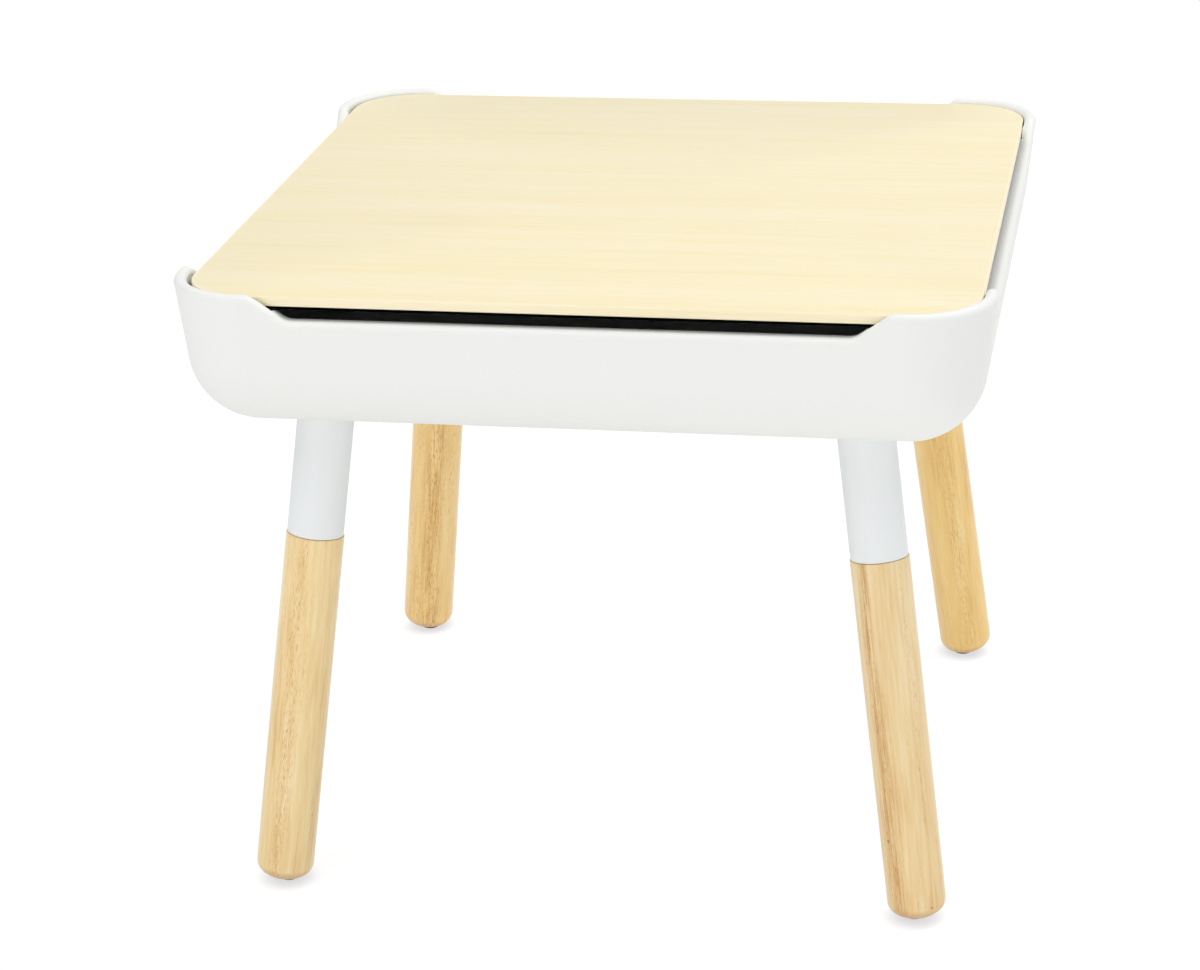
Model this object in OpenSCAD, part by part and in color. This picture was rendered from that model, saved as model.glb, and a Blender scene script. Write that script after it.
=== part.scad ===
// Children's table with a storage tub under a lift-off lid.
//
// A square moulded tub stands on four splayed round legs. Its rolled rim dips on every side, so
// that fingers reach under the lid. The lid is a veneered board that lies on bumpers on four
// corner ledges inside the rim. Each leg is turned wood. A bolt from inside the tub runs down
// through a moulded sleeve into an insert in the top of the leg and draws all three together.
//
// The origin is on the floor, at the middle of the table. +Z is up and the front faces -Y.

/* [Overall] */
// Height from the floor to the top of the rim
overall_h = 495; // [380:1:600]

/* [Tub] */
// Width and depth over the rim
tub_w = 600; // [520:1:800]
// Height from the underside to the top of the rim
tub_h = 111; // [100:1:122]
// Lean of the outer wall
tub_draft = 6.6; // [4:0.1:7.5]
// Radius of the rim's corners in plan
corner_r = 62; // [60:0.5:80]
// Thickness of the floor
floor_t = 5; // [4:0.5:7]
// Lean of the inner wall, which makes the wall thicker towards the rim
inner_draft = 1.5; // [1:0.1:2.5]
// Thickness of the ribs under the floor
rib_t = 2.5; // [2:0.5:4]
// Depth of the ribs
rib_h = 5; // [3:0.5:8]
// Distance from one rib to the next
rib_pitch = 60; // [50:1:64]
// Distance from the end of a rib to the nearest corner's axis
rib_end = 12; // [8:1:20]

/* [Rim] */
// Thickness of the rolled rim
rim_t = 9.5; // [8:0.1:11]
// Straight part of the slope at each end of a finger notch, which rises 3 in 4
slope_l = 24.5; // [14:0.5:28]
// Radius of the bend at the head of a slope
head_bend_r = 6; // [6:0.5:14]
// Radius of the bend at the foot of a slope
foot_bend_r = 18; // [12:0.5:22]
// Straight high rim between a corner and the first bend
rim_shoulder = 4.5; // [1:0.5:20]
// Reach of the flange inside a notch's lip, inwards from the middle of the rim
flange_w = 10; // [8:0.5:12]
// Thickness of that flange
flange_t = 4; // [3:0.5:5]

/* [Lid] */
// Thickness of the lid
lid_t = 9; // [8:0.5:14]
// Clearance between the lid and the rim, all round
lid_gap = 2.2; // [1:0.1:4]
// Depth of the lid's top below the top of the rim
lid_sink = 3.5; // [1:0.1:5]
// Thickness of the top veneer
veneer_t = 0.6; // [0.5:0.1:1.5]
// Thickness of the sheet on the lid's underside
backing_t = 2; // [1:0.1:3]
// Distance by which that sheet is trimmed back from the face of the edge band
backing_trim = 0.3; // [0.1:0.1:1]
// Thickness of the edge band
band_t = 2; // [1.5:0.1:4]
// Radius on the band's upper arris
band_arris_r = 1.2; // [0.5:0.1:1.4]

/* [Lid seats] */
// Depth of a corner ledge, from its straight edge to the wall behind it
ledge_depth = 26; // [22:1:34]
// Thickness of a corner ledge
ledge_t = 4; // [3:0.5:6]
// Depth of the gusset below a ledge
gusset_h = 25; // [10:1:30]
// Thickness of the gusset
gusset_t = 3; // [2:0.5:5]
// Diameter of a bumper
bumper_d = 12; // [8:0.5:14]
// Height of a bumper
bumper_h = 2; // [1.5:0.1:4]
// Running gap between the bumpers and the lid
bumper_gap = 0.3; // [0.1:0.1:0.5]

/* [Legs] */
// Diameter of the turned leg
leg_d = 44.4; // [43.6:0.2:50]
// Diameter of the sleeve
sleeve_d = 43; // [40:0.2:43.4]
// Length of the sleeve along the leg, from the tub down to the joint with the wood
sleeve_l = 105; // [90:1:130]
// Thickness of the sleeve's wall
sleeve_t = 3.2; // [2.5:0.1:4.5]
// Distance from the tub's edge to the middle of a leg, at the tub's underside
leg_inset = 98; // [95:1:120]
// Splay of a leg, outwards along the table's diagonal
leg_splay = 9.7; // [4:0.1:11]
// Rounding round the foot
foot_r = 10.8; // [6:0.2:10.8]
// Radius of the shallow dome under the foot
dome_r = 30; // [28:1:38]
// Length of the spigot inside the sleeve
spigot_l = 60; // [45:1:64]
// Clearance all round the spigot and the tub's socket boss inside the sleeve
spigot_gap = 0.3; // [0.2:0.05:0.5]
// Thickness of the glide under a foot
glide_t = 2; // [1.5:0.1:3]
// Diameter of the glide
glide_d = 15; // [10:0.5:16]

/* [Fasteners] */
// Diameter of the leg bolt
bolt_d = 8; // [6:1:8]
// Length of the leg bolt under its head
bolt_l = 75; // [70:1:78]
// Diameter of the bolt's head
bolt_head_d = 14; // [12:0.5:15]
// Height of the bolt's head
bolt_head_h = 3; // [2.5:0.1:3.5]
// Hexagon socket in the head, across flats
bolt_key = 5; // [4:0.5:6]
// Diameter of the washer
washer_d = 20; // [16:0.5:22]
// Thickness of the washer
washer_t = 1.6; // [1:0.1:2]
// Diameter of the threaded insert
insert_d = 12; // [10:0.5:14]
// Length of the threaded insert
insert_l = 20; // [15:1:25]

/* [Hidden] */

$fn = 96;

// Each corner is named by the direction of the diagonal that it stands on.
BACK_RIGHT = 45;
BACK_LEFT = 135;
FRONT_LEFT = 225;
FRONT_RIGHT = 315;
CORNERS = [BACK_RIGHT, BACK_LEFT, FRONT_LEFT, FRONT_RIGHT];

// Heights of the tub and the lid above the floor
under_z = overall_h - tub_h;
lid_top_z = overall_h - lid_sink;
lid_z = lid_top_z - lid_t;

// Tub in plan: the corner axis lies this far from both centre lines
corner_axis = tub_w / 2 - corner_r;
straight_l = 2 * corner_axis;

// Tub in section: u is the distance outwards from the corner axis, v the height above the
// underside
bead_r = rim_t / 2;
bead = [corner_r - bead_r, tub_h - bead_r];
// The rim stands a little proud of the outer and the inner wall
proud_out = 0.15;
proud_in = 0.4;
wall_top = bead + (bead_r - proud_out) * [cos(tub_draft), -sin(tub_draft)];
inner_top = [bead.x - bead_r + proud_in, bead.y];
hair = 0.002;
// The rim along a side is this much thinner in radius than round a corner
side_step = 0.05;
side_bead_r = bead_r - side_step;

// Rim of one side, in the plane of its leaning wall: y runs along the side and z up the wall from
// the middle of the high rim. Each end bends down, slopes, and bends back to the notch's floor.
slope_sin = 0.6;
slope_cos = 0.8;
slope_angle = asin(slope_sin);
head_bend = head_bend_r * [slope_sin, 1 - slope_cos];
foot_bend = foot_bend_r * [slope_sin, 1 - slope_cos];
notch_z = -head_bend.y - foot_bend.y - slope_l * slope_sin;
high_y = corner_axis - rim_shoulder;
low_y = high_y - head_bend.x - foot_bend.x - slope_l * slope_cos;
slope_top = [high_y, 0] - head_bend;
slope_foot = [low_y, notch_z] + foot_bend;

// The lip of a notch is broadened inwards by a level flange a little below the rolled rim's top
lip_x = tub_w / 2 - bead_r + notch_z * sin(tub_draft);
lip_z = overall_h - bead_r + notch_z * cos(tub_draft);
flange_drop = 1.3;
flange_top = lip_z + side_bead_r - flange_drop;
flange_root = 2;
flange_corner_r = 4;

// Lid in plan
lid_w = tub_w - 2 * (rim_t + lid_gap);
lid_corner_r = corner_r - rim_t - lid_gap;

// Corner ledges and bumpers
ledge_top_v = lid_z - bumper_gap - bumper_h - under_z;
ledge_r = inner_top.x - (inner_top.y - ledge_top_v) * tan(inner_draft) + 2;
ledge_edge = ledge_r - ledge_depth;
bumper_r = ledge_edge + bumper_d / 2 + 1.5;

// One leg, in the leg's own frame: the origin is where its axis meets the tub's underside, -Z runs
// down the leg and +X points outwards along the diagonal.
leg_seat = tub_w / 2 - leg_inset;
bore_d = sleeve_d - 2 * sleeve_t;
spigot_d = bore_d - 2 * spigot_gap;
boss_top = 9;
boss_foot = -10;
web_top = boss_foot - 1;
web_t = 6;
washer_z = boss_top - bolt_head_h - washer_t - 1;
bolt_z = washer_z + washer_t;
bolt_hole_d = bolt_d + 0.6;
spigot_z = spigot_l - sleeve_l;
bolt_tip_z = bolt_z - bolt_l;
// The foot is a round fillet that runs into a shallower dome about a point on the axis, which is
// cut level this far above its lowest point. The glide sits on the cut, straight below that point.
foot_cut = 1.2;
fillet_axis_r = leg_d / 2 - foot_r;
dome_rise = sqrt(pow(dome_r - foot_r, 2) - pow(fillet_axis_r, 2));
leg_l = dome_r + (under_z - dome_r - glide_t + foot_cut) / cos(leg_splay);
foot_out = (leg_l - dome_r) * sin(leg_splay);
// Clearance on the diameter of what is driven or screwed into a hole
fit = 0.1;
glide_pin_d = 2.4;
glide_pin_l = 16;

// Rectangle with round corners, true arcs
module round_rectangle(w, l, r) {
    square([w, l - 2 * r], center = true);
    square([w - 2 * r, l], center = true);
    for (x = [-1, 1], y = [-1, 1]) translate([x * (w / 2 - r), y * (l / 2 - r)]) circle(r = r);
}

// ---------------------------------------------------------------- tub

// A point on a wall that leans out by `lean` and passes through `top`, at height v
function wall_u(top, lean, v) = top.x - (top.y - v) * tan(lean);

// Area between the corner axis (u = 0) and a wall that leans out by `lean` up to the point `top`,
// with a floor at height `base`. The fillet between them is centred on the axis, and stands a hair
// proud of both. Above `top` the area goes on as `rest` says.
module bowl_section(base, top, lean, rest) {
    r = (wall_u(top, lean, base) * cos(lean) + hair) / (1 - sin(lean));
    c = [0, base + r];
    foot = c + (r - hair) * [cos(lean), -sin(lean)];
    polygon(concat([c, foot, top], rest));
    translate(c) intersection() {
        circle(r = r);
        translate([0, -2 * r]) square(2 * r);
    }
}

// Section of floor and wall, up to the middle of the rolled rim
module shell_section() {
    difference() {
        bowl_section(0, wall_top, tub_draft, [bead, [0, bead.y]]);
        bowl_section(floor_t, inner_top, inner_draft, [[inner_top.x, tub_h], [0, tub_h]]);
    }
}

// Puts things into the frame of the right-hand side's rim
module on_rim() {
    translate([tub_w / 2 - bead_r, 0, overall_h - bead_r]) rotate([0, tub_draft, 0]) children();
}

// Turns a flat outline into the plane of the wall, thickness outwards
module in_wall_plane() {
    rotate([90, 0, 90]) children();
}

// Outline of one notch, above the middle line of the rim
module notch_outline() {
    bend_top = [high_y, -head_bend_r];
    bend_low = [low_y, notch_z + foot_bend_r];
    difference() {
        polygon([[0, notch_z], [low_y, notch_z], bend_low, slope_foot, slope_top, bend_top,
                 [high_y, rim_t], [0, rim_t]]);
        translate(bend_top) circle(r = head_bend_r);
    }
    translate(bend_low) intersection() {
        circle(r = foot_bend_r);
        polygon([[0, 0], [0, -2 * foot_bend_r],
                 2 * foot_bend_r * [slope_sin, -slope_cos]]);
    }
}

// A straight piece of the rolled rim, along +Z. What follows it goes on from its far end.
module rim_straight(length) {
    cylinder(h = length, r = side_bead_r);
    translate([0, 0, length]) children();
}

// A bend of the rolled rim, from +Z towards +X. What follows it goes on from its far end.
module rim_bend(r) {
    translate([r, 0, 0]) {
        rotate([90, 0, 0]) rotate(180 - slope_angle) rotate_extrude(angle = slope_angle)
            translate([r, 0]) circle(r = side_bead_r);
        rotate([0, slope_angle, 0]) translate([-r, 0, 0]) children();
    }
}

// Level flange inside the lip of one notch. Its outer edge is rooted in the wall.
module lip_flange() {
    w = flange_w + flange_root;
    translate([lip_x + flange_root - w / 2, 0, flange_top - flange_t]) linear_extrude(flange_t)
        round_rectangle(w, 2 * low_y, flange_corner_r);
}

// Rolled rim of half a side, from the corner down to the middle of the notch
module rim_half() {
    translate([0, corner_axis, 0]) rotate([90, 0, 0]) rotate(-90)
        rim_straight(rim_shoulder) rim_bend(head_bend_r) rim_straight(slope_l)
        mirror([1, 0, 0]) rim_bend(foot_bend_r) rim_straight(low_y);
}

// One corner of the shell with its ledge and gusset, in the corner's own frame
module tub_corner() {
    rotate_extrude(angle = 90) shell_section();
    rotate_extrude(angle = 90) translate(bead) circle(r = bead_r);
    translate([0, 0, ledge_top_v - ledge_t]) linear_extrude(ledge_t) intersection() {
        circle(r = ledge_r);
        square(corner_r);
        rotate(45) translate([ledge_edge, -corner_r]) square([corner_r, 2 * corner_r]);
    }
    rotate([90, 0, 45]) linear_extrude(gusset_t, center = true)
        polygon([[ledge_edge + 2, ledge_top_v - ledge_t], [ledge_r, ledge_top_v - ledge_t],
                 [ledge_r, ledge_top_v - ledge_t - gusset_h]]);
}

// One straight side of the shell, with its notch and the flange inside it
module tub_side() {
    difference() {
        translate([corner_axis, 0, under_z]) rotate([90, 0, 0])
            linear_extrude(straight_l, center = true) shell_section();
        on_rim() in_wall_plane() linear_extrude(4 * rim_t, center = true) {
            notch_outline();
            mirror([1, 0]) notch_outline();
        }
    }
    on_rim() {
        rim_half();
        mirror([0, 1, 0]) rim_half();
    }
    lip_flange();
}

// Low ribs under the floor, between the legs
module floor_ribs() {
    rib_l = straight_l - 2 * rib_end;
    for (turn = [0, 90], i = [-2:2])
        rotate(turn) translate([-rib_l / 2, i * rib_pitch - rib_t / 2, under_z - rib_h])
            cube([rib_l, rib_t, rib_h + floor_t / 2]);
}

module storage_tub() {
    color([0.94, 0.94, 0.93]) difference() {
        union() {
            translate([-corner_axis, -corner_axis, under_z]) cube([straight_l, straight_l, floor_t]);
            for (turn = [0, 90, 180, 270]) rotate(turn) {
                translate([corner_axis, corner_axis, under_z]) tub_corner();
                tub_side();
            }
            for (corner = CORNERS) on_leg(corner) translate([0, 0, boss_foot])
                cylinder(h = boss_top - boss_foot, d = spigot_d);
            floor_ribs();
        }
        for (corner = CORNERS) on_leg(corner) {
            translate([0, 0, boss_foot - 1]) cylinder(h = boss_top - boss_foot + 2, d = bolt_hole_d);
            translate([0, 0, washer_z]) cylinder(h = boss_top, d = washer_d + 1);
        }
    }
}

// ---------------------------------------------------------------- lid

// Flat sheet of the lid's shape from height z up, set in all round from its edge
module lid_sheet(z, t, inset) {
    w = lid_w - 2 * inset;
    translate([0, 0, z]) linear_extrude(t) round_rectangle(w, w, lid_corner_r - inset);
}

module lid_core() {
    color([0.78, 0.66, 0.48]) lid_sheet(lid_z + backing_t, lid_t - backing_t - veneer_t, band_t);
}

module lid_top_veneer() {
    color([0.97, 0.93, 0.8]) lid_sheet(lid_top_z - veneer_t, veneer_t, band_t);
}

module lid_backing() {
    color([0.06, 0.06, 0.06]) lid_sheet(lid_z, backing_t, backing_trim);
}

// Section of the band: its inner face at u = 0, its upper outer arris round
module band_section() {
    a = band_arris_r;
    h = lid_t - backing_t;
    polygon([[0, 0], [band_t, 0], [band_t, h - a], [band_t - a, h - a], [band_t - a, h], [0, h]]);
    translate([band_t - a, h - a]) intersection() {
        circle(r = a);
        square(a);
    }
}

module lid_edge_band() {
    axis = lid_w / 2 - lid_corner_r;
    inner = lid_corner_r - band_t;
    color([0.98, 0.92, 0.79]) for (turn = [0, 90, 180, 270]) rotate(turn) {
        translate([axis, axis, lid_z + backing_t]) rotate_extrude(angle = 90)
            translate([inner, 0]) band_section();
        translate([axis + inner, 0, lid_z + backing_t]) rotate([90, 0, 0])
            linear_extrude(2 * axis, center = true) band_section();
    }
}

module lid_bumper(corner) {
    out = corner_axis * sqrt(2) + bumper_r;
    color([0.75, 0.76, 0.76]) rotate(corner) translate([out, 0, under_z + ledge_top_v])
        cylinder(h = bumper_h, d = bumper_d);
}

// ---------------------------------------------------------------- legs

// Puts things into the frame of one leg
module on_leg(corner) {
    rotate(corner) translate([leg_seat * sqrt(2), 0, under_z]) rotate([0, -leg_splay, 0])
        children();
}

module leg_sleeve(corner) {
    color([0.93, 0.94, 0.94]) difference() {
        on_leg(corner) translate([0, 0, -sleeve_l]) cylinder(h = sleeve_l + sleeve_d, d = sleeve_d);
        // the top is cut level, where it meets the tub
        translate([-tub_w, -tub_w, under_z]) cube([2 * tub_w, 2 * tub_w, 2 * sleeve_d]);
        on_leg(corner) {
            translate([0, 0, web_top]) cylinder(h = sleeve_d, d = bore_d);
            translate([0, 0, -sleeve_l - 1]) cylinder(h = sleeve_l + 1 + web_top - web_t, d = bore_d);
            translate([0, 0, -sleeve_l]) cylinder(h = sleeve_l, d = bolt_hole_d);
        }
    }
}

// Half outline of a turned leg: shank with a round foot, and a spigot with a broken edge
module leg_outline() {
    chamfer = 1.5;
    shank_r = leg_d / 2;
    spigot_r = spigot_d / 2;
    dome = [0, dome_r - leg_l];
    fillet = dome + [fillet_axis_r, -dome_rise];
    low = fillet.y - foot_r / 3;
    polygon([[0, low], [fillet.x + 1, low], [shank_r, fillet.y], [shank_r, -sleeve_l],
             [spigot_r, -sleeve_l], [spigot_r, spigot_z - chamfer], [spigot_r - chamfer, spigot_z],
             [0, spigot_z]]);
    translate(dome) intersection() {
        circle(r = dome_r);
        polygon([[0, 0], [0, -2 * dome_r], 2 * [fillet_axis_r, -dome_rise]]);
    }
    translate(fillet) intersection() {
        circle(r = foot_r + hair);
        translate([0, -2 * foot_r]) square([2 * foot_r, 4 * foot_r]);
    }
}

module leg(corner) {
    color([0.93, 0.82, 0.62]) difference() {
        on_leg(corner) rotate_extrude() leg_outline();
        // the foot is cut level for its glide
        on_foot(corner) translate([0, 0, glide_t - foot_r]) cylinder(h = foot_r, d = 2 * leg_d);
        on_leg(corner) {
            translate([0, 0, spigot_z - insert_l]) cylinder(h = insert_l + 1, d = insert_d + fit);
            translate([0, 0, bolt_tip_z - 2]) cylinder(h = bolt_l, d = bolt_hole_d);
        }
        on_foot(corner) cylinder(h = glide_t + glide_pin_l + 1, d = glide_pin_d + fit);
    }
}

module leg_bolts() {
    color([0.7, 0.7, 0.72]) for (corner = CORNERS) on_leg(corner) difference() {
        union() {
            translate([0, 0, bolt_tip_z]) cylinder(h = bolt_l, d = bolt_d);
            translate([0, 0, bolt_z]) cylinder(h = bolt_head_h, d = bolt_head_d);
        }
        translate([0, 0, bolt_z + 0.5]) cylinder(h = bolt_head_h, d = bolt_key / cos(30), $fn = 6);
    }
}

module bolt_washers() {
    color([0.65, 0.66, 0.68]) for (corner = CORNERS) on_leg(corner) translate([0, 0, washer_z])
        difference() {
            cylinder(h = washer_t, d = washer_d);
            translate([0, 0, -1]) cylinder(h = washer_t + 2, d = bolt_hole_d);
        }
}

module leg_inserts() {
    color([0.72, 0.6, 0.35]) for (corner = CORNERS) on_leg(corner)
        translate([0, 0, spigot_z - insert_l]) difference() {
            cylinder(h = insert_l, d = insert_d);
            translate([0, 0, -1]) cylinder(h = insert_l + 2, d = bolt_d + fit);
        }
}

// Puts things on the floor under the middle of one glide
module on_foot(corner) {
    rotate(corner) translate([leg_seat * sqrt(2) + foot_out, 0, 0]) children();
}

module foot_glide(corner) {
    color([0.35, 0.33, 0.31]) on_foot(corner) {
        cylinder(h = glide_t, d = glide_d);
        cylinder(h = glide_t + glide_pin_l, d = glide_pin_d);
    }
}

storage_tub();
lid_core();
lid_top_veneer();
lid_edge_band();
lid_backing();
lid_bumper(FRONT_LEFT);  // lid_bumper_front_left
lid_bumper(FRONT_RIGHT);  // lid_bumper_front_right
lid_bumper(BACK_RIGHT);  // lid_bumper_back_right
lid_bumper(BACK_LEFT);  // lid_bumper_back_left
leg_sleeve(FRONT_LEFT);  // leg_sleeve_front_left
leg_sleeve(FRONT_RIGHT);  // leg_sleeve_front_right
leg_sleeve(BACK_RIGHT);  // leg_sleeve_back_right
leg_sleeve(BACK_LEFT);  // leg_sleeve_back_left
leg(FRONT_LEFT);  // leg_front_left
leg(FRONT_RIGHT);  // leg_front_right
leg(BACK_RIGHT);  // leg_back_right
leg(BACK_LEFT);  // leg_back_left
leg_bolts();
bolt_washers();
leg_inserts();
foot_glide(FRONT_LEFT);  // foot_glide_front_left
foot_glide(FRONT_RIGHT);  // foot_glide_front_right
foot_glide(BACK_RIGHT);  // foot_glide_back_right
foot_glide(BACK_LEFT);  // foot_glide_back_left
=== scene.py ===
"""Children's table with a storage tub: a white moulded tub on four splayed rubberwood legs, under a
loose maple-veneered lid. Blender 4.5, metres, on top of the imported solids.
"""

import math

import bmesh
import bpy
from mathutils import Matrix, Vector


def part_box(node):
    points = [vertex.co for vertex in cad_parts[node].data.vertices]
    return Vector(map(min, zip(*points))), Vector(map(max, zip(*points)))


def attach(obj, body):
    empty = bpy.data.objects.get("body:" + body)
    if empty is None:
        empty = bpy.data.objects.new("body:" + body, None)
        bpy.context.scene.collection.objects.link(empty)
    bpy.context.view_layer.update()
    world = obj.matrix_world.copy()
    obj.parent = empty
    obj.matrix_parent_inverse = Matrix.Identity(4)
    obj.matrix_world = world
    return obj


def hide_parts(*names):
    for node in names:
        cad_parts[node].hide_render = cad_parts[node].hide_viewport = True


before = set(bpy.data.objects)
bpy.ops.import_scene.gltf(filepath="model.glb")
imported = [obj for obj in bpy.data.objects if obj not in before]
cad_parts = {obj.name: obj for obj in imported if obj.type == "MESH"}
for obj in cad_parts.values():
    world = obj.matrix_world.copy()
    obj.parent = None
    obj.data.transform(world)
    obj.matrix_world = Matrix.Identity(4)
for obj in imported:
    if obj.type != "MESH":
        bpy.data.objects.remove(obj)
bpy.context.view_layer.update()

MM = 0.001
# an edge sharper than this keeps its crease
CRISP = math.radians(35)
CORNERS = {"back_right": 45, "back_left": 135, "front_left": 225, "front_right": 315}

# Sizes in millimetres, as the solids have them
LEG_SPLAY = math.radians(9.7)
LEG_SEAT = 202
UNDERSIDE_Z = 384
CORNER_AXIS = 238
LID_Z, LID_TOP_Z = 482.5, 491.5
BACKING_T, VENEER_T, BAND_T = 2, 0.6, 2
LID_CORNER = 50.3
# the loose lid lies a little to the right and to the back in its rim
LID_PLAY = (1.0, 1.0)
SLEEVE_END = -105
# the rim: the middle of its roll at the high corners, its lean, and the bends of a finger notch
RIM_X, RIM_Z = 295.25, 490.25
RIM_LEAN = math.radians(6.6)
NOTCH_LOW, NOTCH_HIGH, NOTCH_DEPTH = 199.5, 233.5, 19.5
FOOT_BEND, STRAIGHT, HEAD_BEND = 18, 24.5, 6
SLOPE = math.asin(0.6)
# the flange inside the rim: its height over the roll's middle, its thickness, its inner edge, and
# how far the roll's crown stands over it
FLANGE_RISE, FLANGE_T, FLANGE_EDGE, CROWN = 3.4, 4, 282.95, 1.33
# up a slope its edge draws back this far for the lid, from this far below it and over this rise
LID_SETBACK, LID_CLEARANCE, LID_SETBACK_RISE = 6.75, 1.6, 0.9
# and then this far as it dies into the high rim, from this place along the side and over this run
END_SETBACK, END_START, END_RUN = 2.3, 224, 6


# ---------------------------------------------------------------- colour and nodes

def hex_colour(code):
    """An sRGB hex value as linear RGBA."""
    values = [int(code[i:i + 2], 16) / 255 for i in (1, 3, 5)]
    return [v / 12.92 if v <= 0.04045 else ((v + 0.055) / 1.055) ** 2.4 for v in values] + [1.0]


def add(tree, kind, inputs=None, **settings):
    """Adds a node with its settings. An input is given a value, or the socket that feeds it."""
    node = tree.nodes.new(kind)
    for name, value in settings.items():
        setattr(node, name, value)
    for key, value in (inputs or {}).items():
        if isinstance(value, bpy.types.NodeSocket):
            tree.links.new(value, node.inputs[key])
        else:
            node.inputs[key].default_value = value
    return node


def new_material(name):
    """An empty material, its node tree and its output node."""
    material = bpy.data.materials.new(name)
    material.use_nodes = True
    tree = material.node_tree
    tree.nodes.clear()
    return material, tree, add(tree, "ShaderNodeOutputMaterial")


def set_ramp(node, stops):
    """Gives a colour ramp its stops, each a position and a hex colour."""
    ramp = node.color_ramp
    while len(ramp.elements) > 1:
        ramp.elements.remove(ramp.elements[-1])
    for i, (position, code) in enumerate(stops):
        stop = ramp.elements[0] if i == 0 else ramp.elements.new(position)
        stop.position = position
        stop.color = hex_colour(code)


def leg_frame(angle):
    """Takes a piece from a leg's own frame, its top at the origin, to its place under the tub."""
    return (Matrix.Rotation(math.radians(angle), 4, "Z")
            @ Matrix.Translation((LEG_SEAT * MM * math.sqrt(2), 0, UNDERSIDE_Z * MM))
            @ Matrix.Rotation(-LEG_SPLAY, 4, "Y"))


def per_metre(size_mm):
    """The noise scale whose features are about this many millimetres across."""
    return 1 / (size_mm * MM)


# ---------------------------------------------------------------- materials

def moulded_polypropylene(name, colour):
    """Polypropylene from a spark-eroded mould: satin, with a skin that is only just not smooth."""
    material, tree, output = new_material(name)
    place = add(tree, "ShaderNodeTexCoord").outputs["Object"]
    # a slight cloudiness, as the melt leaves it, in the gloss alone
    cloud = add(tree, "ShaderNodeTexNoise", {"Vector": place, "Scale": per_metre(60), "Detail": 2})
    gloss = add(tree, "ShaderNodeMapRange", {0: cloud.outputs[0], 3: 0.52, 4: 0.6})
    grain = add(tree, "ShaderNodeTexNoise", {"Vector": place, "Scale": per_metre(0.9), "Detail": 3})
    skin = add(tree, "ShaderNodeBump", {"Height": grain.outputs[0], "Strength": 0.06,
                                        "Distance": 0.05 * MM})
    shader = add(tree, "ShaderNodeBsdfPrincipled", {
        "Base Color": hex_colour(colour), "Roughness": gloss.outputs[0], "IOR": 1.49,
        "Normal": skin.outputs[0]})
    tree.links.new(shader.outputs[0], output.inputs[0])
    return material


def maple_veneer(name, tones):
    """Sliced maple under satin lacquer: fine straight grain along X, in faint cream streaks.

    The tones run from the darkest grain to the lightest.
    """
    material, tree, output = new_material(name)
    place = add(tree, "ShaderNodeTexCoord").outputs["Object"]
    along = add(tree, "ShaderNodeMapping", {"Vector": place, "Scale": (0.03, 1, 1)})
    # leaf-wide streaks, growth rings between them, and single fibres
    streak = add(tree, "ShaderNodeTexNoise", {"Vector": along.outputs[0], "Scale": per_metre(38),
                                              "Detail": 3, "Roughness": 0.6})
    ring = add(tree, "ShaderNodeTexNoise", {"Vector": along.outputs[0], "Scale": per_metre(7),
                                            "Detail": 5, "Roughness": 0.65})
    fibre = add(tree, "ShaderNodeTexNoise", {"Vector": along.outputs[0], "Scale": per_metre(1.4),
                                             "Detail": 2})
    wide = add(tree, "ShaderNodeMix", {0: 0.55, 2: streak.outputs[0], 3: ring.outputs[0]})
    both = add(tree, "ShaderNodeMix", {0: 0.3, 2: wide.outputs[0], 3: fibre.outputs[0]})
    tone = add(tree, "ShaderNodeValToRGB", {0: both.outputs[0]})
    set_ramp(tone, list(zip((0.3, 0.45, 0.55, 0.7), tones)))
    relief = add(tree, "ShaderNodeBump", {"Height": fibre.outputs[0], "Strength": 0.08,
                                          "Distance": 0.05 * MM})
    shader = add(tree, "ShaderNodeBsdfPrincipled", {
        "Base Color": tone.outputs[0], "Roughness": 0.38, "IOR": 1.5, "Normal": relief.outputs[0]})
    tree.links.new(shader.outputs[0], output.inputs[0])
    return material


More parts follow.
